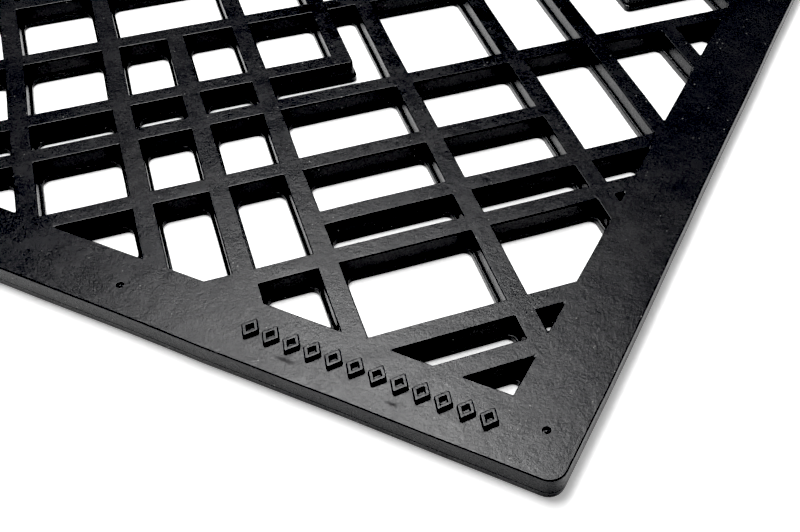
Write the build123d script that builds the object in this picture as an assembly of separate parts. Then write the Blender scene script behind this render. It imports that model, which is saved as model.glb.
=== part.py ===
"""Moulded rubber door mat: a flat frame filled with a lattice of diagonal bars.

Frame: millimetres, +Z up, origin at the middle of the mat on the floor, X along the long side.
The lattice is laid out in its own axes, turned 45 degrees about the front right corner of the
mat: "along" runs to the rear right and "across" runs to the rear left. A rising bar lies at a
fixed distance across, a falling bar at a fixed distance along.
"""
from build123d import *
import os
from math import sqrt

# Driving dimensions.
LENGTH = 750.0
WIDTH = 450.0
HEIGHT = 10.0
CORNER_RADIUS = 6.0
LONG_RAIL_WIDTH = 25.0
SHORT_RAIL_WIDTH = 26.5
BAR_WIDTH = 8.0
FLANGE = 1.2            # how far the foot of a wall stands out from its top edge
FLANGE_HEIGHT = 3.0
LOZENGE_COUNT = 12
LOZENGE_PITCH = 8.0
LOZENGE_WIDTH = 7.0
LOZENGE_LENGTH = 9.0
LOZENGE_STROKE = 1.7
LOZENGE_RAISE = 1.5
LOZENGE_ROW_END = 26.0  # from the right edge of the mat to the row's right end
LOZENGE_ROW_Y = 13.0    # from the front edge of the mat to the row's centre line

# Centre line of each rising bar, measured across, with the falling bars that it stops at.
# None means that the bar runs on to the frame.
RISING_BARS = [
    (52.8, None, None),
    (71.5, None, None),
    (116.0, None, None),
    (137.0, -42.0, None),
    (170.0, None, 66.6),
    (210.5, None, None),
    (234.0, None, -5.0),
    (245.0, 142.0, None),
    (278.5, None, None),
    (325.5, None, None),
    (346.0, None, 142.0),
    (388.0, -300.0, None),
    (409.0, None, None),
    (443.0, None, 105.0),
    (484.0, None, None),
    (505.0, -343.0, None),
    (549.0, None, -42.0),
    (582.0, None, None),
    (623.0, None, None),
    (644.0, -239.0, None),
    (686.0, None, None),
    (718.0, None, None),
    (760.0, None, None),
    (782.0, None, None),
]
# Centre line of each falling bar, measured along, with the rising bars that it stops at.
FALLING_BARS = [
    (262.0, None, None),
    (223.0, None, None),
    (183.0, None, None),
    (142.0, 245.0, None),
    (142.0, None, 210.5),
    (105.0, None, None),
    (66.6, None, None),
    (15.5, None, None),
    (-5.0, 234.0, None),
    (-42.0, None, None),
    (-71.0, None, 278.5),
    (-99.2, None, None),
    (-139.5, None, None),
    (-165.0, 234.0, None),
    (-206.0, None, None),
    (-239.0, None, 644.0),
    (-280.0, None, None),
    (-300.0, 388.0, 582.0),
    (-343.0, None, None),
    (-376.0, None, None),
    (-396.0, None, 484.0),
    (-437.0, None, None),
    (-470.0, None, None),
]

OPEN_LENGTH = LENGTH - 2 * SHORT_RAIL_WIDTH
OPEN_WIDTH = WIDTH - 2 * LONG_RAIL_WIDTH
REACH = LENGTH + WIDTH          # longer than any bar
UPPER_HEIGHT = HEIGHT - FLANGE_HEIGHT
FLANGED_WIDTH = BAR_WIDTH + 2 * FLANGE
LATTICE = Location((LENGTH / 2, -WIDTH / 2, 0), (0, 0, 45))


def span(start, end, width):
    """The first and last place of a bar's strip, past the centre line of the bar it stops at."""
    low = -REACH if start is None else start - width / 2
    high = REACH if end is None else end + width / 2
    return low, high


def rising_strip(bar, width):
    across, start, end = bar
    low, high = span(start, end, width)
    return LATTICE * Pos((low + high) / 2, across) * Rectangle(high - low, width)


def falling_strip(bar, width):
    along, start, end = bar
    low, high = span(start, end, width)
    return LATTICE * Pos(along, (low + high) / 2) * Rectangle(width, high - low)


def stack(lower, upper):
    """One solid from the outline of its flanged foot and the outline of its upper part."""
    foot = extrude(lower, FLANGE_HEIGHT)
    top = Pos(0, 0, FLANGE_HEIGHT) * extrude(upper, UPPER_HEIGHT)
    return foot + top


def rising_bar(bar):
    """Continuous at the foot, notched from above where the falling bars pass over."""
    lower = rising_strip(bar, FLANGED_WIDTH) & opening(FLANGE)
    upper = rising_strip(bar, BAR_WIDTH) & opening(0)
    upper -= [falling_strip(other, BAR_WIDTH) for other in FALLING_BARS]
    return stack(lower, upper)


def falling_bar(bar):
    """Continuous at the top, notched from below where the rising bars pass under."""
    lower = falling_strip(bar, FLANGED_WIDTH) & opening(FLANGE)
    lower -= [rising_strip(other, FLANGED_WIDTH) for other in RISING_BARS]
    upper = falling_strip(bar, BAR_WIDTH) & opening(0)
    return stack(lower, upper)


def opening(inset):
    """The lattice's place inside the frame."""
    return Rectangle(OPEN_LENGTH - 2 * inset, OPEN_WIDTH - 2 * inset)


def long_rail(side):
    """The front (-1) or rear (+1) rail, which holds both of its corners."""
    outline = RectangleRounded(LENGTH, WIDTH, CORNER_RADIUS)
    middle = side * (WIDTH - LONG_RAIL_WIDTH) / 2
    upper = outline & (Pos(0, middle) * Rectangle(LENGTH, LONG_RAIL_WIDTH))
    ledge = Pos(0, side * (OPEN_WIDTH - FLANGE) / 2) * Rectangle(OPEN_LENGTH - 2 * FLANGE, FLANGE)
    return stack(upper + ledge, upper)


def short_rail(side):
    """The left (-1) or right (+1) rail, which fits between the long rails."""
    middle = side * (LENGTH - SHORT_RAIL_WIDTH) / 2
    upper = Pos(middle, 0) * Rectangle(SHORT_RAIL_WIDTH, OPEN_WIDTH)
    ledge = Pos(side * (OPEN_LENGTH - FLANGE) / 2, 0) * Rectangle(FLANGE, OPEN_WIDTH)
    return stack(upper + ledge, upper)


def lozenge(width, length):
    return Polygon((-width / 2, 0), (0, -length / 2), (width / 2, 0), (0, length / 2), align=None)


def lozenge_row():
    """A row of raised open lozenges near the right end of the front rail."""
    inset = LOZENGE_STROKE * sqrt(1 / LOZENGE_WIDTH ** 2 + 1 / LOZENGE_LENGTH ** 2)
    hole = lozenge(LOZENGE_WIDTH * (1 - 2 * inset), LOZENGE_LENGTH * (1 - 2 * inset))
    ring = extrude(lozenge(LOZENGE_WIDTH, LOZENGE_LENGTH) - hole, LOZENGE_RAISE)
    last_x = LENGTH / 2 - LOZENGE_ROW_END - LOZENGE_WIDTH / 2
    row_y = -WIDTH / 2 + LOZENGE_ROW_Y
    rings = [Pos(last_x - index * LOZENGE_PITCH, row_y, HEIGHT) * ring for index in range(LOZENGE_COUNT)]
    return Compound(children=rings)


def check_single(name, shape):
    """A member has to come out as one closed solid."""
    count = len(shape.solids())
    if count != 1:
        raise ValueError(f"{name} came out as {count} solids")
    return shape.solid()


def build():
    nodes = {
        "front_rail": check_single("front_rail", long_rail(-1)),
        "rear_rail": check_single("rear_rail", long_rail(1)),
        "left_rail": check_single("left_rail", short_rail(-1)),
        "right_rail": check_single("right_rail", short_rail(1)),
        "lozenge_row": lozenge_row(),
    }
    for number, bar in enumerate(RISING_BARS, start=1):
        name = f"rising_bar_{number:02d}"
        nodes[name] = check_single(name, rising_bar(bar))
    for number, bar in enumerate(FALLING_BARS, start=1):
        name = f"falling_bar_{number:02d}"
        nodes[name] = check_single(name, falling_bar(bar))
    return nodes


os.makedirs("parts", exist_ok=True)
for node, shape in build().items():
    export_step(shape, f"parts/{node}.step")
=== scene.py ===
"""Looks for the moulded rubber door mat.

The whole moulding is built as one surface from the frame's plan, with drafted walls, flanged
feet and rounded edges, and then divided into one closed piece for each CAD node.
"""
import math

import bmesh
import bpy
import numpy as np
from mathutils import Matrix, Vector, noise


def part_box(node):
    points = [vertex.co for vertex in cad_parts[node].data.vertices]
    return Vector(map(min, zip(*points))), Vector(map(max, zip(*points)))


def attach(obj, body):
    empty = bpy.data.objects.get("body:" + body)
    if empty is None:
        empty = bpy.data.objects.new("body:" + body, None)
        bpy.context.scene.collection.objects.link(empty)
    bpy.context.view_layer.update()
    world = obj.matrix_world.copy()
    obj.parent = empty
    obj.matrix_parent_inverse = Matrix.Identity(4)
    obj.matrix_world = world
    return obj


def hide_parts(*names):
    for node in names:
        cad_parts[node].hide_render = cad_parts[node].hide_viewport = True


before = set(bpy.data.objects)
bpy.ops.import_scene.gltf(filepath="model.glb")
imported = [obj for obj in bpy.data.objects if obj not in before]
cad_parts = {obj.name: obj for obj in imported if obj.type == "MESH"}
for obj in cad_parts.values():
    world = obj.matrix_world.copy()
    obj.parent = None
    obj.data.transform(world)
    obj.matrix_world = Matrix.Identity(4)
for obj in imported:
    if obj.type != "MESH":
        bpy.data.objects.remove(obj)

MM = 0.001
SQRT2 = math.sqrt(2)
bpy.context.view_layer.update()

# ---------------------------------------------------------------- the plan, read from the frame

RISING = sorted(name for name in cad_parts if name.startswith("rising_bar"))
FALLING = sorted(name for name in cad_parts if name.startswith("falling_bar"))
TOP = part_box("front_rail")[1].z
CORNER = Vector((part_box("right_rail")[1].x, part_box("front_rail")[0].y))
REACH = 2.0                 # longer than anything on the mat
UNDER, OVER = -TOP, 2 * TOP  # heights that are clear of the mat
SEAM_SKIN = 0.6 * MM        # how far a cut stays clear of a rounded or drafted wall
SAME_HEIGHT = 0.05 * MM
SAME_PLACE = 0.01 * MM


def lattice(x, y):
    """Lattice axes, turned 45 degrees about the front right corner: (along, across)."""
    dx, dy = x - CORNER.x, y - CORNER.y
    return (dx + dy) / SQRT2, (dy - dx) / SQRT2


def plan(along, across):
    return Vector((CORNER.x + (along - across) / SQRT2, CORNER.y + (along + across) / SQRT2))


def vertices(node):
    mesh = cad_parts[node].data
    points = np.empty(len(mesh.vertices) * 3)
    mesh.vertices.foreach_get("co", points)
    return points.reshape(-1, 3)


def at_height(points, height):
    return points[np.abs(points[:, 2] - height) < SAME_HEIGHT]


def opening_box():
    """Inner edges of the frame at the top: left, front, right, rear."""
    left = at_height(vertices("left_rail"), TOP)[:, 0].max()
    right = at_height(vertices("right_rail"), TOP)[:, 0].min()
    front = at_height(vertices("front_rail"), TOP)[:, 1].max()
    rear = at_height(vertices("rear_rail"), TOP)[:, 1].min()
    return left, front, right, rear


def flange_top(edge):
    """Height of the front rail's flange, from the points along its edge."""
    points = vertices("front_rail")
    return points[np.abs(points[:, 1] - edge) < SAME_PLACE, 2].max()


LEFT, FRONT, RIGHT, REAR = opening_box()
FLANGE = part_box("front_rail")[1].y - FRONT
FLANGE_TOP = flange_top(FRONT + FLANGE)


def inside_opening(point, margin):
    in_x = LEFT + margin < point.x < RIGHT - margin
    return in_x and FRONT + margin < point.y < REAR - margin


class Bar:
    """A bar's strip in plan: its centre line, half width, and where it starts and stops."""

    def __init__(self, node, rising):
        points = vertices(node)
        across_axis = 1 if rising else 0
        foot = np.array([lattice(x, y) for x, y, _ in at_height(points, 0)])
        head = np.array([lattice(x, y) for x, y, _ in at_height(points, TOP)])
        self.node = node
        self.rising = rising
        self.centre = (head[:, across_axis].min() + head[:, across_axis].max()) / 2
        self.half = (head[:, across_axis].max() - head[:, across_axis].min()) / 2
        run = foot[:, 1 - across_axis] if rising else head[:, 1 - across_axis]
        trim = FLANGE if rising else 0
        self.low = self.end(run.min() + trim, -REACH)
        self.high = self.end(run.max() - trim, REACH)

    def end(self, place, beyond):
        """A real end keeps its place; an end cut off by the frame runs on past it."""
        corners = [self.at(place, self.centre + side * self.half) for side in (-1, 1)]
        return place if all(inside_opening(c, MM) for c in corners) else beyond

    def at(self, run, cross):
        return plan(run, cross) if self.rising else plan(cross, run)

    def covers(self, run):
        return self.low <= run <= self.high


RISING_BARS = sorted((Bar(node, True) for node in RISING), key=lambda bar: bar.centre)
FALLING_BARS = sorted((Bar(node, False) for node in FALLING), key=lambda bar: bar.centre)

# ---------------------------------------------------------------- small mesh tools


def mesh_object(name, points, faces):
    mesh = bpy.data.meshes.new(name)
    mesh.from_pydata(points, [], faces)
    mesh.validate()
    obj = bpy.data.objects.new(name, mesh)
    bpy.context.scene.collection.objects.link(obj)
    return obj


def discard(*objects):
    for obj in objects:
        bpy.data.objects.remove(obj)


class Builder:
    """Collects closed shells into one mesh object."""

    def __init__(self):
        self.points = []
        self.faces = []

    def stack(self, rings):
        """A closed shell from rings of equal length, counter-clockwise seen from above, top first."""
        first = len(self.points)
        count = len(rings[0])
        for ring in rings:
            self.points.extend(ring)
        for level in range(len(rings) - 1):
            upper = first + level * count
            lower = upper + count
            for i in range(count):
                j = (i + 1) % count
                self.faces.append((upper + i, lower + i, lower + j, upper + j))
        last = first + (len(rings) - 1) * count
        self.faces.append(tuple(range(first, first + count)))
        self.faces.append(tuple(reversed(range(last, last + count))))

    def prism(self, outline, low, high):
        self.stack([[(p[0], p[1], z) for p in outline] for z in (high, low)])

    def make(self, name):
        return mesh_object(name, self.points, self.faces)


def boolean(obj, cutter, operation, name):
    """A new object: obj with the cutter taken away, or the part that they share."""
    result = obj.copy()
    modifier = result.modifiers.new("cut", "BOOLEAN")
    modifier.solver = "MANIFOLD"
    modifier.operation = operation
    modifier.object = cutter
    bpy.context.scene.collection.objects.link(result)
    depsgraph = bpy.context.evaluated_depsgraph_get()
    mesh = bpy.data.meshes.new_from_object(result.evaluated_get(depsgraph))
    discard(result)
    made = bpy.data.objects.new(name, mesh)
    mesh.name = name
    bpy.context.scene.collection.objects.link(made)
    return made


# ---------------------------------------------------------------- the openings in plan

MERGE_DISTANCE = 0.02 * MM
FLAT_ANGLE = 0.01           # radians
FACING_UP = 0.9


def strip_outline(bar):
    ends = [(bar.low, -1), (bar.high, -1), (bar.high, 1), (bar.low, 1)]
    outline = [bar.at(run, bar.centre + side * bar.half) for run, side in ends]
    return outline if bar.rising else outline[::-1]


def opening_outlines():
    """Corner points of each opening at the top of the mat, counter-clockwise."""
    slab = Builder()
    slab.prism([(LEFT, FRONT), (RIGHT, FRONT), (RIGHT, REAR), (LEFT, REAR)], 0, TOP)
    left_over = slab.make("slab")
    for bars in (RISING_BARS, FALLING_BARS):
        strips = Builder()
        for bar in bars:
            strips.prism(strip_outline(bar), UNDER, OVER)
        cutter = strips.make("strips")
        left_over, before = boolean(left_over, cutter, "DIFFERENCE", "openings"), left_over
        discard(before, cutter)
    cells = bmesh.new()
    cells.from_mesh(left_over.data)
    discard(left_over)
    bmesh.ops.remove_doubles(cells, verts=cells.verts, dist=MERGE_DISTANCE)
    bmesh.ops.dissolve_limit(cells, angle_limit=FLAT_ANGLE, verts=cells.verts, edges=cells.edges)
    tops = [face for face in cells.faces if face.normal.z > FACING_UP]
    outlines = [[vertex.co.xy.copy() for vertex in face.verts] for face in tops]
    cells.free()
    return sorted(outlines, key=lambda outline: (outline[0].x, outline[0].y))


def corner_directions(corners):
    """For each corner, the unit directions into it and out of it."""
    count = len(corners)
    out = [(corners[(i + 1) % count] - corners[i]).normalized() for i in range(count)]
    return [(out[i - 1], out[i]) for i in range(count)]


def turn(into, out):
    return math.atan2(into.x * out.y - into.y * out.x, into.dot(out))


def inset(corners, distance):
    """Corners moved inwards, so that every edge moves by the distance."""
    moved = []
    for corner, (into, out) in zip(corners, corner_directions(corners)):
        normals = Vector((-into.y - out.y, into.x + out.x))
        bisector = normals / (1 + into.dot(out))
        moved.append(corner + bisector * distance)
    return moved


PARALLEL = 1e-12            # cross product of two edges with the same direction


def drop_short_edges(corners, distance, least):
    """Leaves out an edge that would vanish when the outline is inset by the distance."""
    corners = list(corners)
    while len(corners) > 3:
        moved = inset(corners, distance)
        count = len(corners)
        lengths = []
        for i in range(count):
            direction = (corners[(i + 1) % count] - corners[i]).normalized()
            lengths.append((moved[(i + 1) % count] - moved[i]).dot(direction))
        shortest = min(range(count), key=lambda i: lengths[i])
        if lengths[shortest] >= least:
            return corners
        before = corners[shortest] - corners[shortest - 1]
        after = corners[(shortest + 2) % count] - corners[(shortest + 1) % count]
        cross = before.x * after.y - before.y * after.x
        if abs(cross) < PARALLEL:
            return corners
        gap = corners[(shortest + 1) % count] - corners[shortest]
        share = (gap.x * after.y - gap.y * after.x) / cross
        corners[shortest] = corners[shortest] + before * share
        corners.pop((shortest + 1) % count)
    return corners


def openness(corners):
    """Twice the area over the length of the outline: an inscribed circle's radius, where there is one."""
    count = len(corners)
    area = 0
    length = 0
    for i, corner in enumerate(corners):
        after = corners[(i + 1) % count]
        area += (corner.x * after.y - after.x * corner.y) / 2
        length += (after - corner).length
    return 2 * area / length


ARC_STEPS = 6
EDGE_STEP = 18 * MM
ARC_SHARE = 0.46            # the most of an edge that the arc at one of its ends takes up


def edge_steps(corners):
    count = len(corners)
    lengths = [(corners[(i + 1) % count] - corners[i]).length for i in range(count)]
    return [max(1, round(length / EDGE_STEP)) for length in lengths]


def rounded(corners, radius, outer_radius, steps):
    """The outline with its corners rounded: inner corners by radius, jutting ones by outer_radius."""
    count = len(corners)
    directions = corner_directions(corners)
    turns = [turn(into, out) for into, out in directions]
    tangents = [math.tan(abs(angle) / 2) for angle in turns]
    lengths = [(corners[(i + 1) % count] - corners[i]).length for i in range(count)]
    arcs = []
    for i, corner in enumerate(corners):
        wanted = radius if turns[i] > 0 else outer_radius
        reach = min(wanted * tangents[i], ARC_SHARE * lengths[i - 1], ARC_SHARE * lengths[i])
        size = reach / tangents[i]
        into = directions[i][0]
        start = corner - into * reach
        side = math.copysign(1, turns[i])
        centre = start + Vector((-into.y, into.x)) * side * size
        arm = start - centre
        arc = []
        for step in range(ARC_STEPS + 1):
            spin = Matrix.Rotation(turns[i] * step / ARC_STEPS, 2)
            arc.append(centre + spin @ arm)
        arcs.append(arc)
    ring = []
    for i in range(count):
        ring.extend(arcs[i])
        start, stop = arcs[i][-1], arcs[(i + 1) % count][0]
        ring.extend(start.lerp(stop, k / steps[i]) for k in range(1, steps[i]))
    return ring


# A wall from its top edge down: (inset, height, corner radius, radius of a jutting corner).
EDGE_ROUND = 0.5 * MM
WALL = [
    (-EDGE_ROUND, TOP + 2 * MM, 0.25 * MM, 1.2 * MM),
    (-EDGE_ROUND, TOP, 0.25 * MM, 1.2 * MM),
    (-0.29 * EDGE_ROUND - 0.1 * MM, TOP - 0.09 * MM, 0.3 * MM, 1.3 * MM),
    (-0.04 * MM, TOP - 0.27 * MM, 0.4 * MM, 1.4 * MM),
    (0.0, TOP - EDGE_ROUND, 0.5 * MM, 1.5 * MM),
    (0.12 * MM, FLANGE_TOP + 0.6 * MM, 0.8 * MM, 1.6 * MM),
    (0.2 * MM, FLANGE_TOP + 0.2 * MM, 0.9 * MM, 1.6 * MM),
    (0.4 * MM, FLANGE_TOP, 1.2 * MM, 1.8 * MM),
    (FLANGE - 0.25 * MM, FLANGE_TOP - 0.03 * MM, 3.0 * MM, 2.6 * MM),
    (FLANGE - 0.05 * MM, FLANGE_TOP - 0.15 * MM, 3.2 * MM, 2.8 * MM),
    (FLANGE, FLANGE_TOP - 0.4 * MM, 3.2 * MM, 2.8 * MM),
    (FLANGE, 0.3 * MM, 3.2 * MM, 2.8 * MM),
    (FLANGE - 0.2 * MM, 0.0, 3.2 * MM, 2.8 * MM),
    (FLANGE - 0.2 * MM, -2 * MM, 3.2 * MM, 2.8 * MM),
]
LEVELS_ABOVE_LEDGE = 7
LEAST_EDGE = 0.5 * MM
LEAST_OPENNESS = 0.8 * MM    # a smaller opening stays filled
THROUGH_MARGIN = 0.4 * MM    # an opening not this much wider than its flange is a blind pocket


def opening_rings(outline):
    corners = drop_short_edges(outline, FLANGE, LEAST_EDGE)
    if openness(corners) < LEAST_OPENNESS:
        return None
    through = openness(corners) > FLANGE + THROUGH_MARGIN
    levels = WALL if through else WALL[:LEVELS_ABOVE_LEDGE]
    steps = edge_steps(corners)
    rings = []
    for distance, height, radius, outer_radius in levels:
        ring = rounded(inset(corners, distance), radius, outer_radius, steps)
        rings.append([(p.x, p.y, height) for p in ring])
    return rings


def opening_plugs():
    plugs = Builder()
    for outline in opening_outlines():
        rings = opening_rings(outline)
        if rings:
            plugs.stack(rings)
    return plugs.make("plugs")


# ---------------------------------------------------------------- the frame's outer wall

PLATE_CORNER = 6 * MM
OUTER_WALL = [
    (EDGE_ROUND, TOP),
    (0.25 * MM, TOP - 0.07 * MM),
    (0.08 * MM, TOP - 0.25 * MM),
    (0.02 * MM, TOP - EDGE_ROUND),
    (0.0, TOP - 0.8 * MM),
    (0.06 * MM, 3.75 * MM),
    (0.2 * MM, 3.6 * MM),
    (0.2 * MM, 3.45 * MM),
    (0.1 * MM, 3.3 * MM),
    (0.1 * MM, 3.0 * MM),
    (0.5 * MM, 0.6 * MM),
    (0.65 * MM, 0.2 * MM),
    (0.85 * MM, 0.0),
]


def plate():
    """The mat's outside: a rounded rectangle with its wall's profile."""
    left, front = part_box("front_rail")[0].xy
    right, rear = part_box("rear_rail")[1].xy
    corners = [Vector(p) for p in ((left, front), (right, front), (right, rear), (left, rear))]
    steps = edge_steps(corners)
    rings = []
    for distance, height in OUTER_WALL:
        ring = rounded(inset(corners, distance), PLATE_CORNER - distance, 0, steps)
        rings.append([(p.x, p.y, height) for p in ring])
    made = Builder()
    made.stack(rings)
    return made.make("plate")


# ---------------------------------------------------------------- vent marks

# A mark's cutter from its rim to the middle of its pip: (radius, height), in millimetres at size 1.
PIT_PROFILE = [(1.3, 1.0), (1.25, 0.05), (1.1, -0.1), (1.05, -0.55),
               (0.9, -0.7), (0.62, -0.66), (0.45, -0.25), (0.25, -0.18)]
PIT_STEPS = 24
# Distances in from the mat's side and from its front or rear edge, and the marks' sizes.
PITS = [(11.6 * MM, 16.8 * MM, 1.25), (169.6 * MM, 11.1 * MM, 1.15)]


def pit(builder, x, y, size):
    """A round vent mark with a pip left standing in its middle."""
    rings = []
    for radius, height in PIT_PROFILE:
        reach = radius * size * MM
        level = TOP + height * size * MM
        ring = []
        for step in range(PIT_STEPS):
            angle = 2 * math.pi * step / PIT_STEPS
            ring.append((x + reach * math.cos(angle), y + reach * math.sin(angle), level))
        rings.append(ring)
    builder.stack(rings)


def vent_marks():
    """Marks near the corners and along the rails."""
    marks = Builder()
    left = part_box("front_rail")[0].x
    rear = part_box("rear_rail")[1].y
    for x, side in ((CORNER.x, -1), (left, 1)):
        for from_side, from_edge, size in PITS:
            pit(marks, x + side * from_side, CORNER.y + from_edge, size)
            pit(marks, x + side * from_side, rear - from_edge, size)
    return marks.make("vent_marks")


# ---------------------------------------------------------------- dividing the moulding

TO_LATTICE = Matrix.Rotation(-math.pi / 4, 4, "Z") @ Matrix.Translation((-CORNER.x, -CORNER.y, 0))
LAP_HEIGHT = FLANGE_TOP + 0.6 * MM
RAIL_REACH = FLANGE + 0.3 * MM
FOOT_REACH = 10.7 * MM       # from a bar's centre line to past the fillets at its foot
ZONE_OVERLAP = 0.01 * MM     # so that no thin sheet is left between neighbouring zones


def zones(bars, widest):
    """For each bar, the strip of plan that it owns, which ends just past midway to its neighbours."""
    centres = sorted({round(bar.centre, 6) for bar in bars})
    owned = {}
    for bar in bars:
        place = centres.index(round(bar.centre, 6))
        low = bar.centre - widest
        high = bar.centre + widest
        if place > 0:
            low = max(low, (centres[place - 1] + bar.centre) / 2 - ZONE_OVERLAP)
        if place + 1 < len(centres):
            high = min(high, (centres[place + 1] + bar.centre) / 2 + ZONE_OVERLAP)
        owned[bar.node] = (low, high)
    return owned


def rail_boxes():
    """The plan that each rail owns: (left, front, right, rear)."""
    left, right = LEFT + RAIL_REACH, RIGHT - RAIL_REACH
    front, rear = FRONT + RAIL_REACH, REAR - RAIL_REACH
    return {
        "front_rail": (-REACH, -REACH, REACH, front),
        "rear_rail": (-REACH, rear, REACH, REACH),
        "left_rail": (-REACH, front, left, rear),
        "right_rail": (right, front, REACH, rear),
    }


def comb_side(bar):
    """The side view of a rising bar's share: all of its foot, and its top between falling bars."""
    run_low, run_high = bar.low - RAIL_REACH, bar.high + RAIL_REACH
    crossing = [other for other in FALLING_BARS if other.covers(bar.centre)
                and run_low < other.centre < run_high]
    side = [(run_low, UNDER), (run_high, UNDER), (run_high, OVER)]
    for other in reversed(crossing):
        gap = other.half + SEAM_SKIN
        side += [(other.centre + gap, OVER), (other.centre + gap, LAP_HEIGHT)]
        side += [(other.centre - gap, LAP_HEIGHT), (other.centre - gap, OVER)]
    return side + [(run_low, OVER)]


def comb(builder, bar, zone):
    """The comb's side view carried across the bar's strip, in lattice axes."""
    side = comb_side(bar)
    first = len(builder.points)
    count = len(side)
    for cross in zone:
        builder.points.extend((run, cross, height) for run, height in side)
    for i in range(count):
        j = (i + 1) % count
        builder.faces.append((first + i, first + count + i, first + count + j, first + j))
    builder.faces.append(tuple(range(first, first + count)))
    builder.faces.append(tuple(range(first + 2 * count - 1, first + count - 1, -1)))


def box_outline(left, front, right, rear):
    return [(left, front), (right, front), (right, rear), (left, rear)]


def cut_pair(obj, cutter, inner_name, outer_name):
    """The part of obj inside the cutter and the part outside it. The cutter is used up."""
    inner = boolean(obj, cutter, "INTERSECT", inner_name)
    outer = boolean(obj, cutter, "DIFFERENCE", outer_name)
    discard(obj, cutter)
    return inner, outer


def prisms(outlines):
    made = Builder()
    for outline in outlines:
        made.prism(outline, UNDER, OVER)
    return made.make("cutter")


def shells(obj):
    """The separate closed shells of a mesh, each as (points, faces)."""
    mesh = obj.data
    owner = list(range(len(mesh.vertices)))

    def root(i):
        while owner[i] != i:
            owner[i] = owner[owner[i]]
            i = owner[i]
        return i

    for edge in mesh.edges:
        a, b = root(edge.vertices[0]), root(edge.vertices[1])
        owner[max(a, b)] = min(a, b)
    groups = {}
    for face in mesh.polygons:
        groups.setdefault(root(face.vertices[0]), []).append(tuple(face.vertices))
    found = []
    for faces in groups.values():
        used = sorted({i for face in faces for i in face})
        renumber = {old: new for new, old in enumerate(used)}
        points = [tuple(mesh.vertices[i].co) for i in used]
        found.append((points, [tuple(renumber[i] for i in face) for face in faces]))
    return found


def nearest_bar(points, bars):
    """The bar whose strip holds the middle of these points, in lattice axes."""
    along, across, _ = (np.min(points, axis=0) + np.max(points, axis=0)) / 2

    def distance(bar):
        run, cross = (along, across) if bar.rising else (across, along)
        past_end = max(bar.low - run, run - bar.high, 0)
        return abs(cross - bar.centre) + past_end

    return min(bars, key=distance).node


def group_by_bar(parts, bars):
    """Joins the shells of each bar into one mesh object."""
    builders = {bar.node: Builder() for bar in bars}
    for part in parts:
        for points, faces in shells(part):
            builder = builders[nearest_bar(points, bars)]
            first = len(builder.points)
            builder.points.extend(points)
            builder.faces.extend(tuple(first + i for i in face) for face in faces)
        discard(part)
    return {node: builder.make(node) for node, builder in builders.items()}


def divide(moulding):
    """One closed piece for each rail and bar, cut so that they meet without a gap."""
    rails = rail_boxes()
    pieces = {}
    rest = moulding
    for first, second, axis in (("front_rail", "rear_rail", 1), ("left_rail", "right_rail", 0)):
        cutter = prisms([box_outline(*rails[node]) for node in (first, second)])
        pair, rest = cut_pair(rest, cutter, "rails", "rest")
        low, high = sorted(shells(pair), key=lambda shell: np.mean(shell[0], axis=0)[axis])
        pieces[first] = mesh_object(first, *low)
        pieces[second] = mesh_object(second, *high)
        discard(pair)
    rest.data.transform(TO_LATTICE)
    owned = zones(RISING_BARS, FOOT_REACH)
    rising_parts = []
    for start in (0, 1):        # every other bar at a time, because neighbours' feet touch
        combs = Builder()
        for bar in RISING_BARS[start::2]:
            comb(combs, bar, owned[bar.node])
        inner, rest = cut_pair(rest, combs.make("cutter"), "rising", "falling")
        rising_parts.append(inner)
    bars = group_by_bar(rising_parts, RISING_BARS) | group_by_bar([rest], FALLING_BARS)
    for piece in bars.values():
        piece.data.transform(TO_LATTICE.inverted())
    return pieces | bars


# ---------------------------------------------------------------- the row of lozenges

# Cross-section of a lozenge's raised line: (share of the line's width from its outer edge, share of
# its height).
LINE_SECTION = [(0.0, -0.03), (0.03, 0.75), (0.08, 0.9), (0.18, 0.98), (0.28, 1.0),
                (0.72, 1.0), (0.82, 0.98), (0.92, 0.9), (0.97, 0.75), (1.0, -0.03)]
LINE_WIDTH = 1.7 * MM
LOZENGE_GAP = 1.0 * MM
LOZENGE_COUNT = 12
LOZENGE_CORNER = 0.6 * MM
LEAST_CORNER = 0.1 * MM


def lozenge_row():
    """Open lozenges along the front rail, in the place of the CAD node."""
    low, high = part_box("lozenge_row")
    raised = high.z - TOP
    pitch = (high.x - low.x + LOZENGE_GAP) / LOZENGE_COUNT
    half_width = (pitch - LOZENGE_GAP) / 2
    half_length = (high.y - low.y) / 2
    middle_y = (low.y + high.y) / 2
    made = Builder()
    for index in range(LOZENGE_COUNT):
        x = low.x + half_width + index * pitch
        corners = [Vector(p) for p in ((x - half_width, middle_y), (x, middle_y - half_length),
                                       (x + half_width, middle_y), (x, middle_y + half_length))]
        first = len(made.points)
        for share, height_share in LINE_SECTION:
            distance = share * LINE_WIDTH
            radius = max(LOZENGE_CORNER - distance / 2, LEAST_CORNER)
            ring = rounded(inset(corners, distance), radius, 0, [1] * 4)
            made.points.extend((p.x, p.y, TOP + height_share * raised) for p in ring)
        levels = len(LINE_SECTION)
        count = (len(made.points) - first) // levels
        for level in range(levels):
            for i in range(count):
                j = (i + 1) % count
                here, there = first + level * count, first + (level + 1) % levels * count
                made.faces.append((here + i, here + j, there + j, there + i))
    return made.make("lozenge_row_look")


# ---------------------------------------------------------------- finish of the pieces

WANDER = 0.6 * MM
WANDER_SCALES = ((14.0, 1.0), (45.0, 0.35))     # (waves per metre, share)
WANDER_SEED = 5
SHARP_ANGLE = math.radians(50)


def wander(obj):
    """Moulded rubber is never quite straight: edges wander a little sideways."""
    for vertex in obj.data.vertices:
        shift = Vector((0, 0, 0))
        for scale, share in WANDER_SCALES:
            shift += noise.noise_vector(vertex.co * scale) * share
        vertex.co.x += shift.x * WANDER
        vertex.co.y += shift.y * WANDER


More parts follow.
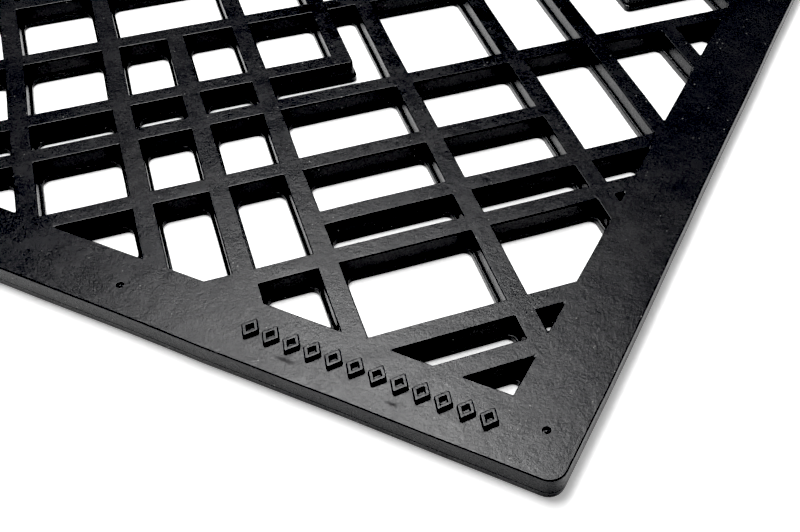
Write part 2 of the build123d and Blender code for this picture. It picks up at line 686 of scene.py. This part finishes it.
def smooth(obj):
    """Rounded edges shade smoothly while the flat faces stay flat."""
    mesh = obj.data
    mesh.polygons.foreach_set("use_smooth", [True] * len(mesh.polygons))
    mesh.set_sharp_from_angle(angle=SHARP_ANGLE)
    modifier = obj.modifiers.new("normals", "WEIGHTED_NORMAL")
    modifier.keep_sharp = True
    depsgraph = bpy.context.evaluated_depsgraph_get()
    finished = bpy.data.meshes.new_from_object(obj.evaluated_get(depsgraph))
    finished.name = mesh.name
    obj.modifiers.clear()
    obj.data = finished


# ---------------------------------------------------------------- materials


def new_material(name):
    material = bpy.data.materials.new(name)
    material.use_nodes = True
    tree = material.node_tree
    return material, tree.nodes, tree.links, tree.nodes["Principled BSDF"]


def noise_node(nodes, links, coordinates, pattern):
    scale, detail, roughness = pattern
    node = nodes.new("ShaderNodeTexNoise")
    node.inputs["Scale"].default_value = scale
    node.inputs["Detail"].default_value = detail
    node.inputs["Roughness"].default_value = roughness
    links.new(coordinates, node.inputs["Vector"])
    return node.outputs["Fac"]


def ramp_node(nodes, links, value, stops):
    """A colour ramp from (place, grey or colour) stops."""
    node = nodes.new("ShaderNodeValToRGB")
    elements = node.color_ramp.elements
    while len(elements) < len(stops):
        elements.new(0.5)
    for element, (place, colour) in zip(elements, stops):
        element.position = place
        element.color = (*colour, 1) if isinstance(colour, tuple) else (colour, colour, colour, 1)
    links.new(value, node.inputs["Fac"])
    return node.outputs["Color"]


def math_node(nodes, links, operation, first, second):
    node = nodes.new("ShaderNodeMath")
    node.operation = operation
    for socket, value in zip(node.inputs, (first, second)):
        if isinstance(value, (int, float)):
            socket.default_value = value
        else:
            links.new(value, socket)
    return node.outputs["Value"]


def mix_node(nodes, links, factor, first, second):
    node = nodes.new("ShaderNodeMix")
    node.data_type = "RGBA"
    links.new(factor, node.inputs["Factor"])
    for name, value in (("A", first), ("B", second)):
        socket = next(s for s in node.inputs if s.name == name and s.type == "RGBA")
        if isinstance(value, tuple):
            socket.default_value = (*value, 1)
        else:
            links.new(value, socket)
    return next(s for s in node.outputs if s.type == "RGBA")


def bump_node(nodes, links, height, distance, strength, normal=None):
    node = nodes.new("ShaderNodeBump")
    node.inputs["Distance"].default_value = distance
    node.inputs["Strength"].default_value = strength
    links.new(height, node.inputs["Height"])
    if normal:
        links.new(normal, node.inputs["Normal"])
    return node.outputs["Normal"]


def speck_mask(nodes, links, coordinates, scale, size, rarity):
    """Scattered small dots: a few of the cells hold one, of the given share of a cell."""
    cells = nodes.new("ShaderNodeTexVoronoi")
    cells.inputs["Scale"].default_value = scale
    links.new(coordinates, cells.inputs["Vector"])
    near = math_node(nodes, links, "LESS_THAN", cells.outputs["Distance"], size)
    split = nodes.new("ShaderNodeSeparateColor")
    links.new(cells.outputs["Color"], split.inputs["Color"])
    chosen = math_node(nodes, links, "GREATER_THAN", split.outputs["Red"], rarity)
    return math_node(nodes, links, "MULTIPLY", near, chosen)


def smudge_mask(nodes, links, coordinates, place, reach):
    """A soft-edged spot with a ragged outline, at a place on the mat."""
    shifted = nodes.new("ShaderNodeVectorMath")
    shifted.operation = "SUBTRACT"
    links.new(coordinates, shifted.inputs[0])
    shifted.inputs[1].default_value = place
    squeezed = nodes.new("ShaderNodeVectorMath")
    squeezed.operation = "MULTIPLY"
    links.new(shifted.outputs["Vector"], squeezed.inputs[0])
    squeezed.inputs[1].default_value = tuple(1 / size for size in reach)
    length = nodes.new("ShaderNodeVectorMath")
    length.operation = "LENGTH"
    links.new(squeezed.outputs["Vector"], length.inputs[0])
    ragged = noise_node(nodes, links, coordinates, RAGGED)
    distance = math_node(nodes, links, "ADD", length.outputs["Value"], ragged)
    return ramp_node(nodes, links, distance, SMUDGE_SHARES)


# Noise patterns: (waves per metre, detail, roughness).
PATCHES = (22, 5, 0.6)
CLOUDS = (70, 6, 0.7)
UNEVEN = (160, 4, 0.5)
RAGGED = (420, 4, 0.7)
GRAIN = (1050, 4, 0.7)
PITTED = (1500, 2, 0.5)
MOTTLE = (3, 2, 0.5)

# What a pattern's values become: (value, colour, share or roughness).
PATCH_COLOURS = [(0.3, (0.0175, 0.0180, 0.0200)),
                 (0.5, (0.0230, 0.0233, 0.0248)),
                 (0.72, (0.0300, 0.0300, 0.0310))]
PORE_SHARES = [(0.34, 1.0), (0.46, 0.0)]
SMUDGE_SHARES = [(0.55, 1.0), (1.0, 0.0)]
CLOUD_ROUGHNESS = [(0.32, 0.0), (0.68, 0.13)]
GRAIN_ROUGHNESS = [(0.35, 0.0), (0.65, 0.1)]
FLOOR_GREYS = [(0.0, 0.88), (1.0, 0.9)]

PORE_COLOUR = (0.0130, 0.0132, 0.0145)
SMUDGE_COLOUR = (0.0080, 0.0080, 0.0090)
DUST_COLOUR = (0.30, 0.30, 0.29)
DUST_CELLS = 400            # per metre
DUST_SIZE = 0.09            # share of a cell
DUST_RARITY = 0.82

# Stains and scuffs: (place from the front right corner, reach along x and y), in millimetres.
SMUDGES = [((-100, 6.5), (9, 2.5)), ((-118, 13), (4, 3)), ((-60, 5.5), (7, 2))]
SMUDGE_DEPTH = 5

LEAST_ROUGHNESS = 0.15
SMUDGE_ROUGHNESS = 0.3
UNEVEN_HEIGHT = 0.3 * MM
UNEVEN_STRENGTH = 0.4
GRAIN_HEIGHT = 0.1 * MM
RUBBER_IOR = 1.38


def smudges(nodes, links, coordinates):
    """One mask for all of the smudges."""
    mask = 0.0
    for (x, y), (reach_x, reach_y) in SMUDGES:
        place = (CORNER.x + x * MM, CORNER.y + y * MM, TOP)
        reach = (reach_x * MM, reach_y * MM, SMUDGE_DEPTH * MM)
        spot = smudge_mask(nodes, links, coordinates, place, reach)
        mask = math_node(nodes, links, "MAXIMUM", mask, spot)
    return mask


def rubber_colour(nodes, links, coordinates, smudged):
    """Near black, with bluish bloom in patches, dark pores and scattered pale dust."""
    patches = noise_node(nodes, links, coordinates, PATCHES)
    colour = ramp_node(nodes, links, patches, PATCH_COLOURS)
    pores = ramp_node(nodes, links, noise_node(nodes, links, coordinates, PITTED), PORE_SHARES)
    dust = speck_mask(nodes, links, coordinates, DUST_CELLS, DUST_SIZE, DUST_RARITY)
    layers = ((pores, PORE_COLOUR), (smudged, SMUDGE_COLOUR), (dust, DUST_COLOUR))
    for mask, layer_colour in layers:
        colour = mix_node(nodes, links, mask, colour, layer_colour)
    return colour


def rubber_roughness(nodes, links, coordinates, grain, smudged):
    """A cloudy sheen, broken up by duller grain and dull smudges."""
    cloudy = ramp_node(nodes, links, noise_node(nodes, links, coordinates, CLOUDS), CLOUD_ROUGHNESS)
    speckled = ramp_node(nodes, links, grain, GRAIN_ROUGHNESS)
    dulled = math_node(nodes, links, "MULTIPLY", smudged, SMUDGE_ROUGHNESS)
    roughness = math_node(nodes, links, "ADD", cloudy, LEAST_ROUGHNESS)
    for more in (speckled, dulled):
        roughness = math_node(nodes, links, "ADD", roughness, more)
    return roughness


def rubber():
    """Black moulded rubber with a fine grain."""
    material, nodes, links, shader = new_material("rubber")
    coordinates = nodes.new("ShaderNodeTexCoord").outputs["Object"]
    grain = noise_node(nodes, links, coordinates, GRAIN)
    smudged = smudges(nodes, links, coordinates)
    colour = rubber_colour(nodes, links, coordinates, smudged)
    roughness = rubber_roughness(nodes, links, coordinates, grain, smudged)
    uneven = noise_node(nodes, links, coordinates, UNEVEN)
    coarse = bump_node(nodes, links, uneven, UNEVEN_HEIGHT, UNEVEN_STRENGTH)
    fine = bump_node(nodes, links, grain, GRAIN_HEIGHT, 1.0, coarse)
    links.new(colour, shader.inputs["Base Color"])
    links.new(roughness, shader.inputs["Roughness"])
    links.new(fine, shader.inputs["Normal"])
    shader.inputs["IOR"].default_value = RUBBER_IOR
    return material


FLOOR_ROUGHNESS = 0.7
FLOOR_GLOW = 0.42


def floor_material():
    """Matt and pale, with a little light of its own so that it stays white."""
    material, nodes, links, shader = new_material("pale_floor")
    coordinates = nodes.new("ShaderNodeTexCoord").outputs["Object"]
    colour = ramp_node(nodes, links, noise_node(nodes, links, coordinates, MOTTLE), FLOOR_GREYS)
    links.new(colour, shader.inputs["Base Color"])
    shader.inputs["Roughness"].default_value = FLOOR_ROUGHNESS
    links.new(colour, shader.inputs["Emission Color"])
    shader.inputs["Emission Strength"].default_value = FLOOR_GLOW
    return material


# ---------------------------------------------------------------- the studio

BLACK_LEVEL = 0.054
FLOOR_SIZE = 6.0
FLOOR_DROP = 0.02 * MM
# Softboxes: (name, place, degrees turned in plan, width, length, power). The overhead one gives the
# sheen round the front right corner, and the fills reach the far parts of the lattice and rails.
SOFTBOXES = [
    ("overhead", (-0.16, 0.3, 1.5), 25, 0.64, 1.36, 46),
    ("rear_fill", (0.05, 1.95, 1.5), 0, 0.6, 1.1, 2.0),
    ("left_fill", (-1.7, 1.5, 1.5), 0, 0.7, 0.8, 1.3),
]
# Light from round the room, by the height of its direction: pale walls below a dark ceiling.
ROOM_LIGHT = [(0.0, 0.6), (0.22, 0.35), (0.42, 0.012)]


def floor():
    half = FLOOR_SIZE / 2
    corners = [(x, y, -FLOOR_DROP) for x, y in box_outline(-half, -half, half, half)]
    sheet = mesh_object("floor", corners, [(0, 1, 2, 3)])
    sheet.data.materials.append(floor_material())


def softbox(name, place, turned, width, length, power):
    """A rectangular light that faces straight down, turned in plan by some degrees."""
    data = bpy.data.lights.new(name, "AREA")
    data.shape = "RECTANGLE"
    data.size = width
    data.size_y = length
    data.energy = power
    light = bpy.data.objects.new(name, data)
    light.location = place
    light.rotation_euler.z = math.radians(turned)
    bpy.context.scene.collection.objects.link(light)


def surroundings():
    """A dark room with pale walls, which show only from low down."""
    world = bpy.data.worlds.new("studio")
    world.use_nodes = True
    nodes, links = world.node_tree.nodes, world.node_tree.links
    direction = nodes.new("ShaderNodeSeparateXYZ")
    links.new(nodes.new("ShaderNodeTexCoord").outputs["Generated"], direction.inputs["Vector"])
    light = ramp_node(nodes, links, direction.outputs["Z"], ROOM_LIGHT)
    links.new(light, nodes["Background"].inputs["Color"])
    bpy.context.scene.world = world


def develop():
    """A plain picture with deep blacks and a white floor."""
    view = bpy.context.scene.view_settings
    view.view_transform = "Standard"
    view.use_curve_mapping = True
    view.curve_mapping.black_level = (BLACK_LEVEL,) * 3
    view.curve_mapping.update()


def studio():
    for settings in SOFTBOXES:
        softbox(*settings)
    surroundings()
    develop()


# The camera stands over the front right corner and looks towards the rear left.
VIEW_AZIMUTH = 22.75
VIEW_ELEVATION = 42.75
VIEW_ROLL = 1.63
LENS = 49.45
SENSOR_WIDTH = 36
SHIFT = (-0.1377, -0.0697)
NEAREST = 0.01
CAMERA_FROM_CORNER = Vector((54.8 * MM, -176.0 * MM, 290.2 * MM))


def camera():
    data = bpy.data.cameras.new("camera")
    data.lens = LENS
    data.sensor_width = SENSOR_WIDTH
    data.shift_x, data.shift_y = SHIFT
    data.clip_start = NEAREST
    made = bpy.data.objects.new("camera", data)
    made.location = Vector((*CORNER, 0)) + CAMERA_FROM_CORNER
    turn_round = Matrix.Rotation(math.radians(VIEW_AZIMUTH), 4, "Z")
    tip = Matrix.Rotation(math.radians(90 - VIEW_ELEVATION), 4, "X")
    roll = Matrix.Rotation(math.radians(VIEW_ROLL), 4, "Z")
    made.rotation_mode = "QUATERNION"
    made.rotation_quaternion = (turn_round @ tip @ roll).to_quaternion()
    bpy.context.scene.collection.objects.link(made)
    bpy.context.scene.camera = made


# ---------------------------------------------------------------- putting it together


def moulding():
    blank, plugs, marks = plate(), opening_plugs(), vent_marks()
    pierced = boolean(blank, plugs, "DIFFERENCE", "pierced")
    marked = boolean(pierced, marks, "DIFFERENCE", "moulding")
    discard(blank, plugs, marks, pierced)
    return marked


def main():
    camera()
    pieces = divide(moulding())
    pieces["lozenge_row"] = lozenge_row()
    finish = rubber()
    noise.seed_set(WANDER_SEED)
    for node, piece in pieces.items():
        piece.name = node + "_look"
        wander(piece)
        smooth(piece)
        piece.data.materials.append(finish)
        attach(piece, "root")
        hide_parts(node)
    floor()
    studio()


main()
